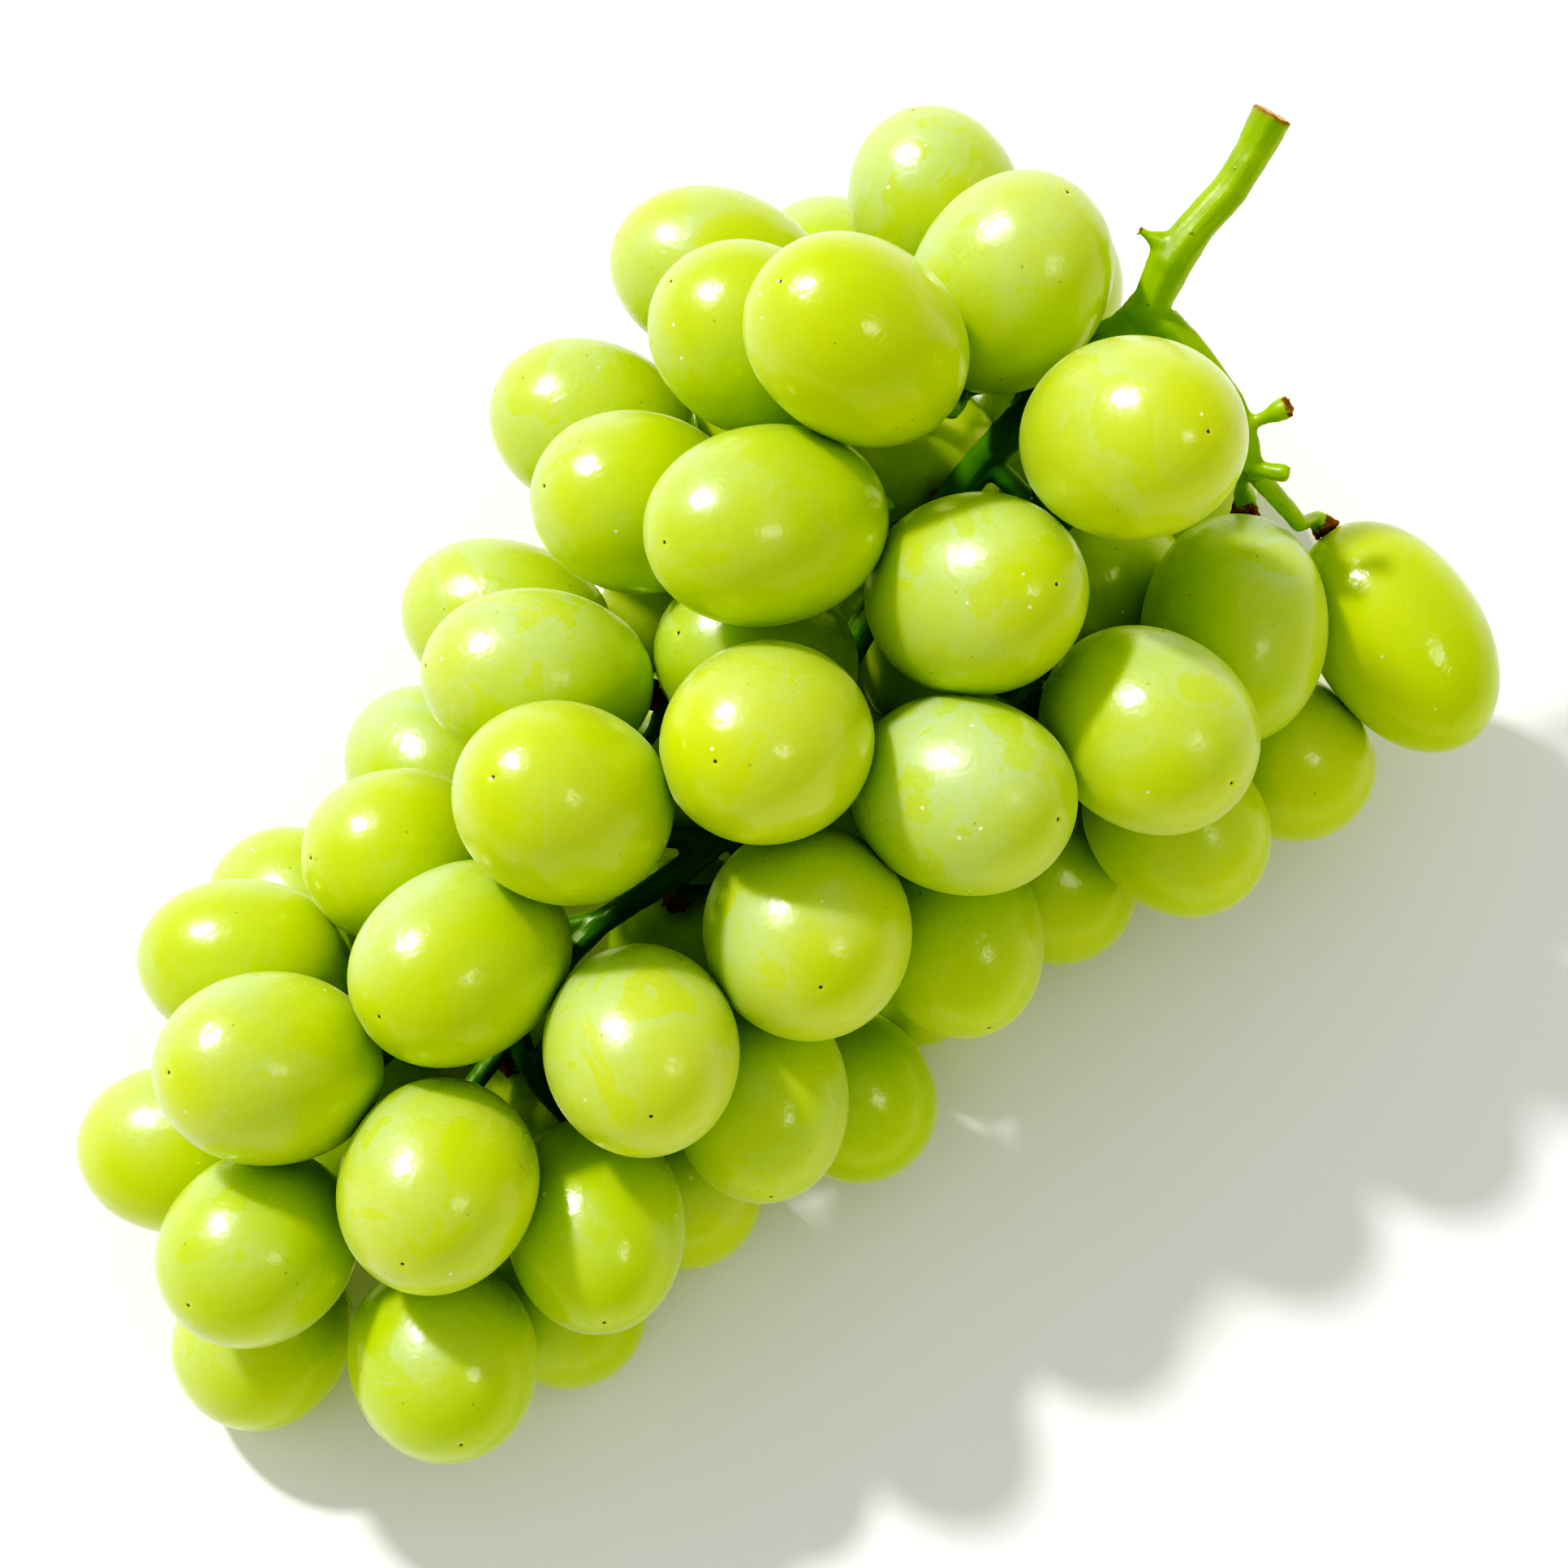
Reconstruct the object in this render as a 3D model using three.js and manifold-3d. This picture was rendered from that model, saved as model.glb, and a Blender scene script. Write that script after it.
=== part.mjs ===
// A bunch of large green table grapes, lying on its side.
// The stem is one piece: peduncle, rachis, side branches and pedicels. Each berry is a piece of its own.
//
// The bunch is laid out face-on, in millimetres: x to the right, y up the bunch, z towards whoever
// faces it. The berries then settle against each other, the stem and the surface, and the whole
// bunch is laid down, tip towards -X and cut end towards +X, with +Z up and z = 0 the surface.
import * as THREE from 'three';
import { mergeVertices } from 'three/addons/utils/BufferGeometryUtils.js';
import Module from 'manifold-3d';

const wasm = await Module();
wasm.setup();

// How the bunch lies.
const LEAN = THREE.MathUtils.degToRad(15); // its face leans back from straight up
const TURN = THREE.MathUtils.degToRad(-49); // its long axis turns to lie along X
const LIFT = 65; // from the surface up to the layout's origin
const PRESS = 0.8; // a berry that carries the bunch is flattened this much by the surface

// Clearances and the settling.
const GAP = 0.4; // between neighbours that touch
const CLEARANCE = 0.3; // cut into the stem round every berry
const STALK_GAP = 0.6; // between a berry and a stalk that isn't its own
const PEDICEL = 4; // shortest pedicel, from the branch's middle to the berry
const ROUNDS = 900;
const FREE_ROUNDS = 300; // the last rounds, when nothing pulls a berry back
const SIDEWAYS = 0.4; // a berry gives way less sideways than towards or away from the face

// Facets.
const BERRY_SIDES = 10;
const BERRY_BANDS = 7;

const RACHIS = {
  // middle line, from the cut end down to the last berry
  route: [
    [62, 85, -6], [57, 76, -8], [50, 68, -10], [46, 60, -14], [37, 53, -23],
    [25, 41, -32], [10, 20, -35], [-3, -1, -34], [-13, -11, -32], [-25, -19, -31],
    [-36, -33, -30], [-48, -50, -30],
  ],
  // half thickness at shares of its length
  girth: [[0, 2.8], [0.03, 2.45], [0.09, 2.4], [0.13, 3.1], [0.16, 2.5], [0.185, 2.8], [0.21, 3.9],
    [0.27, 2.5], [0.5, 2.2], [0.8, 1.7], [1, 1.2]],
};

// Side branches. from: share of the rachis's length where it leaves; to: its far end.
// Each berry: place of its middle [x, y, z], width, length, and which way its tip points
// (away from the rachis where it isn't given).
const BRANCHES = {
  a: { from: 0.25, to: [4, 56, -32], berries: [
    [9, 55, 6, 24.5, 32, [-6, 4, 7]], [-4, 57, -15, 23.5, 28, [-6, 4, 4]],
    [-8.5, 67, -38, 22.5, 29, [-8, 3, 2]], [7, 67, -57, 23, 27],
    [20, 75.5, -34, 22.5, 27, [-2, 8, 3]]] },
  b: { from: 0.25, to: [32, 54, -42], berries: [
    [28.5, 62.5, -12, 24.5, 30, [4.5, 7, 5.5]], [33, 60, -46, 22, 26], [31, 49, -67, 23, 27]] },
  c: { from: 0.34, to: [38, 34, -30], berries: [
    [42.2, 41.8, 3, 25, 33, [5, 0, 8.5]], [43.5, 26.5, -48, 22, 26], [51, 42, -63, 23, 27]] },
  d: { from: 0.42, to: [2, 38, -34], berries: [
    [-1, 32.5, 2, 24.6, 34, [-7.3, -1.5, 6.7]], [-18.5, 35.5, -18, 23, 28, [-7, 1, 5]],
    [-23.5, 47, -40, 22, 28, [-8, 3, 2]], [17, 43, -48, 22, 25],
    [-4, 46, -47, 20, 23]] },
  e: { from: 0.5, to: [-10, 20, -40], berries: [
    [-7.5, 13.5, -20, 23, 28, [-6, 2, 6]], [-22, 23, -58, 23, 27], [-1, 27, -62, 24, 28],
    [-14, 3, -44, 22, 26]] },
  f: { from: 0.47, to: [30, 12, -34], berries: [
    [25, 25, -2, 25.2, 31, [6, 0.5, 8]], [44.5, 7.5, -16, 25, 30, [6.5, -4.5, 6]],
    [46, 0, -59, 22, 25], [24, 14, -62, 24, 28]] },
  g: { from: 0.56, to: [30, -6, -36], berries: [
    [24, 0.5, -7, 24.8, 30, [7.6, -2, 6]], [33.5, -12.5, -46, 21, 25],
    [22, -19.5, -27, 22.5, 28, [3, -8, 4]], [50.5, -5.5, -36, 22, 26, [6, -6, 2]],
    [65.5, 5, -50, 21.5, 25, [8, -4, 0]]] },
  h: { from: 0.58, to: [0, 2, -24], berries: [
    [-2, 5, 3, 25, 31, [-4, -1.5, 9]], [3.5, -18.5, -8, 26, 30, [1, -4, 8.5]],
    [8, -4, -56, 24, 28]] },
  i: { from: 0.68, to: [-34, 0, -30], berries: [
    [-27.5, -2.5, 4, 24.8, 32, [-5, 2, 8.5]], [-31.5, 13.5, -15, 22.5, 30, [-9, 1, 3.5]],
    [-36.5, 21, -38, 21.5, 28, [-9, 3, 0]], [-47, 1.5, -46, 21, 25], [-50, -10, -24, 22.5, 26, [-8, 0, 5]]] },
  j: { from: 0.66, to: [1, -24, -38], berries: [
    [9.5, -39, -42, 21, 24, [6, -7, 0]], [18, -24, -52, 21, 24], [-3, -40, -21, 22.5, 28, [1, -8, 4]],
    [-17, -52, -42, 21, 24], [-12, -22, -50, 23, 26]] },
  k: { from: 0.78, to: [-52, -20, -32], berries: [
    [-40.5, -24, -4, 24, 32, [-6, -4, 7]], [-64, -18, -47, 22, 25],
    [-69.5, -23, -28, 21.5, 28, [-9, 1, 1]], [-63.5, -35, -5, 24, 31, [-7.3, 0, 6.8]],
    [-43, -24, -50, 21, 24]] },
  l: { from: 0.88, to: [-26, -46, -32], berries: [
    [-19.5, -32.5, -3, 24.2, 30, [1, -5, 8.5]], [-25, -56, -19, 22.5, 29, [1, -8, 6]],
    [-29.5, -68, -38, 21, 24], [-31, -42, -47, 20, 23]] },
  m: { from: 0.97, to: [-56, -56, -32], berries: [
    [-43.5, -51, -5, 24.6, 29, [-2.5, -6, 7.5]], [-67.5, -59.5, -14, 23.5, 28, [-5.5, -4.5, 7]],
    [-80, -48, -33, 21.5, 25], [-68.5, -73, -36, 22, 25], [-44, -74.5, -20, 24, 27, [2, -7, 6.5]],
    [-56, -44, -44, 22, 26]] },
};

// The wing at the shoulder, thinned by the grower: its stalk, and the spur it ends in.
const WING = [
  { name: 'n', route: [[46, 60, -14], [49, 58.6, -14.5], [52.7, 55, -16], [56, 51, -17.5],
    [58.4, 47.6, -19], [59.6, 44.2, -20.5], [60.6, 41, -22.5]],
  girth: [[0, 2.6], [0.3, 2.2], [0.8, 1.9], [1, 1.6]],
  berries: [[61.8, 23.6, -29, 24, 30.5, [-1, -9, 3]]] },
  { name: 'o', route: [[59.6, 44.2, -20.5], [60.6, 41, -22.5], [62.7, 38.8, -25.5], [65.6, 36.2, -30],
    [67.6, 34.2, -33.5]],
  girth: [[0, 1.4], [0.4, 1.4], [1, 1.2]],
  berries: [[78.2, 18.6, -41, 22, 33, [5.6, -8.3, 0.5]]] },
];

// The wing's bare stubs, each a short stalk with a swollen end: root, end, half thickness of both.
const STUBS = [
  [[59, 46, -19.5], [65, 48.6, -17], 0.9, 1.5],
  [[60.6, 41, -22], [65.2, 40, -20.5], 1.1, 1.2],
];
const TENDRIL_SCAR = [[50, 68, -10], [45, 70.5, -9], 1.4, 0.6];

const FLOOR_NORMAL = new THREE.Vector3(0, Math.sin(LEAN), Math.cos(LEAN));
const vector = (place) => new THREE.Vector3(...place);

// The value at share t of a list of [share, value] pairs, on straight lines between them.
function along(pairs, t) {
  const next = Math.max(1, pairs.findIndex(([share]) => share >= t));
  const [[t0, v0], [t1, v1]] = [pairs[next - 1], pairs[next]];
  return THREE.MathUtils.lerp(v0, v1, THREE.MathUtils.clamp((t - t0) / (t1 - t0), 0, 1));
}

// A round stalk along a curve: a closed cylinder bent onto it, with its own half thickness at each step.
function stalk(curve, girthAt, sides, steps) {
  const geometry = new THREE.CylinderGeometry(1, 1, 1, sides, steps);
  const frames = curve.computeFrenetFrames(steps);
  const position = geometry.getAttribute('position');
  const spot = new THREE.Vector3();
  for (let i = 0; i < position.count; i++) {
    const share = 0.5 - position.getY(i);
    const step = Math.round(share * steps);
    const reach = girthAt(share);
    spot.copy(curve.getPointAt(share));
    spot.addScaledVector(frames.normals[step], position.getX(i) * reach);
    spot.addScaledVector(frames.binormals[step], position.getZ(i) * reach);
    position.setXYZ(i, spot.x, spot.y, spot.z);
  }
  return geometry;
}

// A geometry as a manifold-3d solid, with its faces pointing out, and back.
function solidOf(geometry) {
  const bare = new THREE.BufferGeometry();
  bare.setAttribute('position', geometry.getAttribute('position').clone());
  bare.setIndex(geometry.getIndex());
  const merged = mergeVertices(bare, 1e-4);
  const corners = new Uint32Array(merged.getIndex().array);
  const make = () => new wasm.Manifold(new wasm.Mesh({
    numProp: 3, vertProperties: merged.getAttribute('position').array, triVerts: corners,
  }));
  const made = make();
  if (made.volume() > 0) return made;
  for (let i = 0; i < corners.length; i += 3) [corners[i], corners[i + 1]] = [corners[i + 1], corners[i]];
  return make();
}

function geometryOf(solid) {
  const { numProp, vertProperties, triVerts } = solid.getMesh();
  const position = new Float32Array((vertProperties.length / numProp) * 3);
  for (let i = 0; i < position.length / 3; i++) {
    position.set(vertProperties.subarray(i * numProp, i * numProp + 3), i * 3);
  }
  const geometry = new THREE.BufferGeometry();
  geometry.setAttribute('position', new THREE.BufferAttribute(position, 3));
  geometry.setIndex(new THREE.BufferAttribute(new Uint32Array(triVerts), 1));
  return geometry;
}

// ---- The stem's skeleton

const rachis = new THREE.CatmullRomCurve3(RACHIS.route.map(vector));

// A side branch leaves the rachis a little towards the tip and bends out to its far end.
function branchCurve({ from, to }) {
  const root = rachis.getPointAt(from);
  const end = vector(to);
  const reach = root.distanceTo(end);
  const elbow = root.clone().lerp(end, 0.35).addScaledVector(rachis.getTangentAt(from), 0.15 * reach);
  return new THREE.QuadraticBezierCurve3(root, elbow, end);
}

const branches = [
  ...Object.entries(BRANCHES).map(([name, branch]) => ({
    name, curve: branchCurve(branch), places: branch.berries, girth: [[0, 1.9], [0.2, 1.6], [1, 1.3]],
    sides: 6, steps: 4,
  })),
  ...WING.map(({ name, route, girth, berries: places }) => ({
    name, curve: new THREE.CatmullRomCurve3(route.map(vector)), places, girth, sides: 8, steps: 8,
  })),
];

// Points along a curve with the half thickness there, for keeping berries off it.
function beads(curve, girth, spacing) {
  const count = Math.max(2, Math.ceil(curve.getLength() / spacing));
  return Array.from({ length: count + 1 }, (_, i) => ({
    share: i / count, spot: curve.getPointAt(i / count), girth: along(girth, i / count),
  }));
}

const rachisBeads = beads(rachis, RACHIS.girth, 3);
const woodBeads = [
  ...rachisBeads,
  ...branches.flatMap(({ curve, girth }) => beads(curve, girth, 3)),
];

const berries = branches.flatMap((branch) => {
  const perches = beads(branch.curve, branch.girth, 1.5).filter(({ share }) => share > 0.25);
  return branch.places.map(([x, y, z, width, length, tip], i) => ({
    name: `berry_${branch.name}${i + 1}`,
    home: new THREE.Vector3(x, y, z),
    middle: new THREE.Vector3(x, y, z),
    tip: tip ? vector(tip).normalize() : new THREE.Vector3(0, 0, 1),
    free: !tip,
    ease: THREE.MathUtils.mapLinear(z, 10, -60, 0.25, 1.5),
    halfWidth: width / 2,
    halfLength: length / 2,
    perches,
  }));
});

// ---- Settling the berries

// How far a berry reaches from its middle towards a unit vector.
function reachOf(berry, towards) {
  const lean = towards.dot(berry.tip);
  const { halfWidth: b, halfLength: a } = berry;
  return Math.sqrt(b * b + (a * a - b * b) * lean * lean);
}

function nearest(beadList, place) {
  const gapTo = (bead) => bead.spot.distanceToSquared(place);
  return beadList.reduce((best, bead) => (gapTo(bead) < gapTo(best) ? bead : best));
}

// A berry's tip points away from the rachis, and it hangs from the point of its branch nearest its foot.
function hang(berry) {
  if (berry.free) berry.tip.subVectors(berry.middle, nearest(rachisBeads, berry.middle).spot).normalize();
  berry.foot = berry.middle.clone().addScaledVector(berry.tip, -berry.halfLength);
  berry.perch = nearest(berry.perches, berry.foot);
}

function shift(berry, direction, amount) {
  berry.middle.x += SIDEWAYS * direction.x * amount;
  berry.middle.y += SIDEWAYS * direction.y * amount;
  berry.middle.z += direction.z * amount;
}

function pushApart(one, other) {
  const line = other.middle.clone().sub(one.middle);
  const distance = line.length();
  line.divideScalar(distance);
  const lack = reachOf(one, line) + reachOf(other, line) + GAP - distance;
  if (lack <= 0) return 0;
  const share = one.ease / (one.ease + other.ease);
  shift(one, line, -share * lack);
  shift(other, line, (1 - share) * lack);
  return lack;
}

function keepOff(berry, bead, room) {
  const line = berry.middle.clone().sub(bead.spot);
  const distance = line.length();
  line.divideScalar(distance);
  const lack = reachOf(berry, line) + bead.girth + room - distance;
  if (lack <= 0) return 0;
  shift(berry, line, 0.6 * lack);
  return lack;
}

function keepAbove(berry) {
  const lack = reachOf(berry, FLOOR_NORMAL) - PRESS - (berry.middle.dot(FLOOR_NORMAL) + LIFT);
  if (lack > 0) berry.middle.addScaledVector(FLOOR_NORMAL, lack);
  return lack;
}

function settle() {
  let worst = 0;
  for (let round = 0; round < ROUNDS; round++) {
    const pull = round < ROUNDS - FREE_ROUNDS ? 0.03 * (1 - round / ROUNDS) : 0;
    worst = 0;
    berries.forEach((berry) => {
      berry.middle.lerp(berry.home, pull);
      hang(berry);
    });
    const pedicelBeads = berries.flatMap((owner) => [0.35, 0.7, 1].map((share) => ({
      owner, spot: owner.perch.spot.clone().lerp(owner.foot, share), girth: 1 + share,
    })));
    berries.forEach((berry, i) => {
      for (let j = i + 1; j < berries.length; j++) worst = Math.max(worst, pushApart(berry, berries[j]));
      woodBeads.forEach((bead) => { worst = Math.max(worst, keepOff(berry, bead, STALK_GAP)); });
      pedicelBeads.forEach((bead) => { if (bead.owner !== berry) keepOff(berry, bead, 0); });
      keepOff(berry, { spot: berry.perch.spot, girth: 0 }, PEDICEL);
      keepAbove(berry);
    });
  }
  berries.forEach(hang);
  return worst;
}

const slack = settle();
console.log('largest overlap left after settling', slack.toFixed(3), 'mm');

// ---- Pieces

const UP = new THREE.Vector3(0, 1, 0);
const tipTurn = (berry) => new THREE.Quaternion().setFromUnitVectors(UP, berry.tip);

// A berry about its own middle, tip up, grown on every side by room.
function berryGeometry(berry, room = 0) {
  return new THREE.SphereGeometry(1, BERRY_SIDES, BERRY_BANDS)
    .scale(berry.halfWidth + room, berry.halfLength + room, berry.halfWidth + room);
}

// What the surface under the bunch takes off a berry that presses on it: a flat patch.
function pressed(berry) {
  const up = FLOOR_NORMAL.clone().applyQuaternion(tipTurn(berry).invert());
  const floor = -LIFT - berry.middle.dot(FLOOR_NORMAL);
  return geometryOf(solidOf(berryGeometry(berry)).trimByPlane(up.toArray(), floor));
}

// A pedicel leaves its branch, bends to meet the berry square on, and flares into a cushion there.
function pedicel(berry) {
  const start = berry.perch.spot;
  const end = berry.foot.clone().addScaledVector(berry.tip, -GAP);
  const reach = start.distanceTo(end);
  const bend = berry.tip.clone().cross(UP).normalize().multiplyScalar(0.12 * reach);
  const curve = new THREE.CubicBezierCurve3(
    start,
    start.clone().lerp(end, 0.35).add(bend),
    end.clone().addScaledVector(berry.tip, -0.35 * reach),
    end,
  );
  const girth = [[0, 1.3], [0.3, 0.95], [0.7, 1.05], [0.85, 1.9], [1, 2.3]];
  return stalk(curve, (t) => along(girth, t), 5, 5);
}

function stub(root, end, rootGirth, endGirth) {
  const girth = [[0, rootGirth], [0.6, rootGirth], [0.75, endGirth], [1, endGirth]];
  return stalk(new THREE.LineCurve3(vector(root), vector(end)), (t) => along(girth, t), 7, 4);
}

// The stem: every stalk joined, then cleared of the berries.
function stemGeometry() {
  const stalks = [
    stalk(rachis, (t) => along(RACHIS.girth, t), 8, 32),
    ...branches.map(({ curve, girth, sides, steps }) => stalk(curve, (t) => along(girth, t), sides, steps)),
    ...STUBS.map(([root, end, thin, thick]) => stub(root, end, thin, thick)),
    stub(...TENDRIL_SCAR),
    ...berries.map(pedicel),
  ];
  const joined = wasm.Manifold.union(stalks.map(solidOf));
  const cleared = berries.reduce((left, berry) => {
    const place = new THREE.Matrix4().makeRotationFromQuaternion(tipTurn(berry)).setPosition(berry.middle);
    return left.subtract(solidOf(berryGeometry(berry, CLEARANCE).applyMatrix4(place)));
  }, joined);
  const parts = cleared.decompose().sort((one, other) => other.volume() - one.volume());
  console.log('pieces cut off the stem:', parts.length - 1);
  return geometryOf(parts[0]);
}

const skin = new THREE.MeshStandardMaterial({ color: 0xa9c93a, roughness: 0.35, metalness: 0 });
const wood = new THREE.MeshStandardMaterial({ color: 0x5f9a1c, roughness: 0.55, metalness: 0 });

const layout = new THREE.Group();
layout.rotation.set(LEAN, 0, TURN, 'ZXY');

const stem = new THREE.Mesh(stemGeometry(), wood);
stem.name = 'stem';
layout.add(stem);

berries.forEach((berry) => {
  const mesh = new THREE.Mesh(pressed(berry), skin);
  mesh.name = berry.name;
  mesh.position.copy(berry.middle);
  mesh.quaternion.copy(tipTurn(berry));
  layout.add(mesh);
});

// The surface is z = 0, and the origin goes under the middle of the whole bunch.
const bunch = new THREE.Group();
bunch.add(layout);
const middle = new THREE.Box3().setFromObject(bunch, true).getCenter(new THREE.Vector3());
layout.position.set(-middle.x, -middle.y, LIFT);

export default bunch;
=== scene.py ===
import math

import bmesh
import bpy
import numpy as np
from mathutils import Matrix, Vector


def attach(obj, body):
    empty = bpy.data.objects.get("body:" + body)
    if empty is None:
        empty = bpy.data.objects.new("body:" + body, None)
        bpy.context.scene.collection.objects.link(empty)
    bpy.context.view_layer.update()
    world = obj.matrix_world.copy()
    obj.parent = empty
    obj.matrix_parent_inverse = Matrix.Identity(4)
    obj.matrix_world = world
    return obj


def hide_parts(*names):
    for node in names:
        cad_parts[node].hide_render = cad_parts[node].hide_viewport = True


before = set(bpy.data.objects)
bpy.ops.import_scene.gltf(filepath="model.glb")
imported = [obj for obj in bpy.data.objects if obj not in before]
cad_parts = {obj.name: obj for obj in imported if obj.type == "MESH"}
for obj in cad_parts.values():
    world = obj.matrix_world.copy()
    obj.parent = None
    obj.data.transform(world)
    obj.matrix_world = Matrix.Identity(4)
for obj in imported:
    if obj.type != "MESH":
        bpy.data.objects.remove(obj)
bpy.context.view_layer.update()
scene = bpy.context.scene
mm = 0.001

print("Frame loaded:", len(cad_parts), "nodes")


lie = {
    "lean": 15.0,  # degrees its face leans back from straight up
    "turn": -49.0,  # degrees its face is turned about the upright
    "heart": (-0.00083, -0.00563, 0.065),  # the middle of its face, metres
}


def faceAxes():
    # the face's right, up and outward directions
    lean, turn = math.radians(lie["lean"]), math.radians(lie["turn"])
    right = np.array([math.cos(turn), math.sin(turn), 0.0])
    out = np.array([math.sin(turn) * math.sin(lean), -math.cos(turn) * math.sin(lean), math.cos(lean)])
    return right, np.cross(out, right), out


rightWay, upWay, outWay = faceAxes()


def onFace(place):
    # millimetres right, up and out from the heart, as a place in metres
    x, y, z = place
    return np.array(lie["heart"]) + mm * (x * rightWay + y * upWay + z * outWay)


def fromFace(way):
    # a direction given as right, up and out on the face
    x, y, z = way
    away = x * rightWay + y * upWay + z * outWay
    return away / np.linalg.norm(away)


cameraSetup = {
    "distance": 0.75,
    "halfWidth": 0.09857,  # what half the frame takes in at the heart, metres
    "sensor": 36.0,
}


def aimed(obj, away, target):
    # places an object on a direction from a target and turns its -Z at it
    obj.location = Vector(target) + Vector(away)
    obj.rotation_euler = Vector(away).to_track_quat("Z", "Y").to_euler()


def makeCamera():
    data = bpy.data.cameras.new("camera")
    data.sensor_width = cameraSetup["sensor"]
    data.lens = 0.5 * cameraSetup["sensor"] * cameraSetup["distance"] / cameraSetup["halfWidth"]
    data.clip_start = 0.01
    data.clip_end = 20
    camera = bpy.data.objects.new("camera", data)
    scene.collection.objects.link(camera)
    aimed(camera, outWay * cameraSetup["distance"], lie["heart"])
    scene.camera = camera


makeCamera()
print("Camera set")


def meshFrom(name, points, faces, material, attributes=None):
    # a smooth-shaded object from an array of places and an array of quads or triangles
    mesh = bpy.data.meshes.new(name)
    mesh.from_pydata(points.tolist(), [], faces if isinstance(faces, list) else faces.tolist())
    for label, values in (attributes or {}).items():
        kind, field = ("FLOAT_VECTOR", "vector") if values.ndim == 2 else ("FLOAT", "value")
        mesh.attributes.new(label, kind, "POINT").data.foreach_set(field, values.astype(np.float32).ravel())
    mesh.shade_smooth()
    mesh.materials.append(material)
    obj = bpy.data.objects.new(name, mesh)
    scene.collection.objects.link(obj)
    return obj


def closedGridFaces(rings, around, start=0):
    # quads between rings of a closed form, and a fan at each end; the two poles come last
    ring, step = np.meshgrid(np.arange(rings - 1), np.arange(around), indexing="ij")
    here = start + ring * around + step
    there = start + ring * around + (step + 1) % around
    quads = np.stack([here, there, there + around, here + around], -1).reshape(-1, 4)
    spin = np.arange(around)
    first, last = start + rings * around, start + rings * around + 1
    top = start + (rings - 1) * around
    firstFan = np.stack([np.full(around, first), start + (spin + 1) % around, start + spin], -1)
    lastFan = np.stack([np.full(around, last), top + spin, top + (spin + 1) % around], -1)
    return quads.tolist() + firstFan.tolist() + lastFan.tolist()


def waves(points, size, count, seed):
    # smooth noise in -1..1: a sum of sine waves in random directions, each about one size long
    pick = np.random.default_rng(seed)
    ways = pick.normal(size=(count, 3))
    pace = (2 * math.pi / size) * pick.uniform(0.6, 1.5, (count, 1))
    ways *= pace / np.linalg.norm(ways, axis=1, keepdims=True)
    return np.sin(points @ ways.T + pick.uniform(0, 2 * math.pi, count)).sum(1) / math.sqrt(count)


def addNode(tree, kind, **values):
    # adds a node; a key that names an input sets it, any other key sets the node's own property
    node = tree.nodes.new(kind)
    for key, value in values.items():
        if key in node.inputs:
            node.inputs[key].default_value = value
        else:
            setattr(node, key, value)
    return node


def link(tree, fromSocket, toSocket):
    tree.links.new(fromSocket, toSocket)


def newGroup(name, inputs, outputs):
    group = bpy.data.node_groups.new(name, "ShaderNodeTree")
    for label, kind, value in inputs:
        socket = group.interface.new_socket(label, in_out="INPUT", socket_type=kind)
        if value is not None:
            socket.default_value = value
    for label, kind in outputs:
        group.interface.new_socket(label, in_out="OUTPUT", socket_type=kind)
    return group, group.nodes.new("NodeGroupInput"), group.nodes.new("NodeGroupOutput")


def makePatches():
    # soft-edged cloudy patches: 0 outside, 1 inside
    group, given, result = newGroup(
        "patches",
        [("Vector", "NodeSocketVector", None), ("Scale", "NodeSocketFloat", 100.0),
         ("Detail", "NodeSocketFloat", 3.0),
         ("Low", "NodeSocketFloat", 0.45), ("High", "NodeSocketFloat", 0.6)],
        [("Mask", "NodeSocketFloat")])
    noise = addNode(group, "ShaderNodeTexNoise", Roughness=0.55, Distortion=0.6)
    shape = addNode(group, "ShaderNodeMapRange", interpolation_type="SMOOTHSTEP")
    link(group, given.outputs["Vector"], noise.inputs["Vector"])
    link(group, given.outputs["Scale"], noise.inputs["Scale"])
    link(group, given.outputs["Detail"], noise.inputs["Detail"])
    link(group, noise.outputs["Fac"], shape.inputs["Value"])
    link(group, given.outputs["Low"], shape.inputs["From Min"])
    link(group, given.outputs["High"], shape.inputs["From Max"])
    link(group, shape.outputs["Result"], result.inputs["Mask"])
    return group


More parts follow.
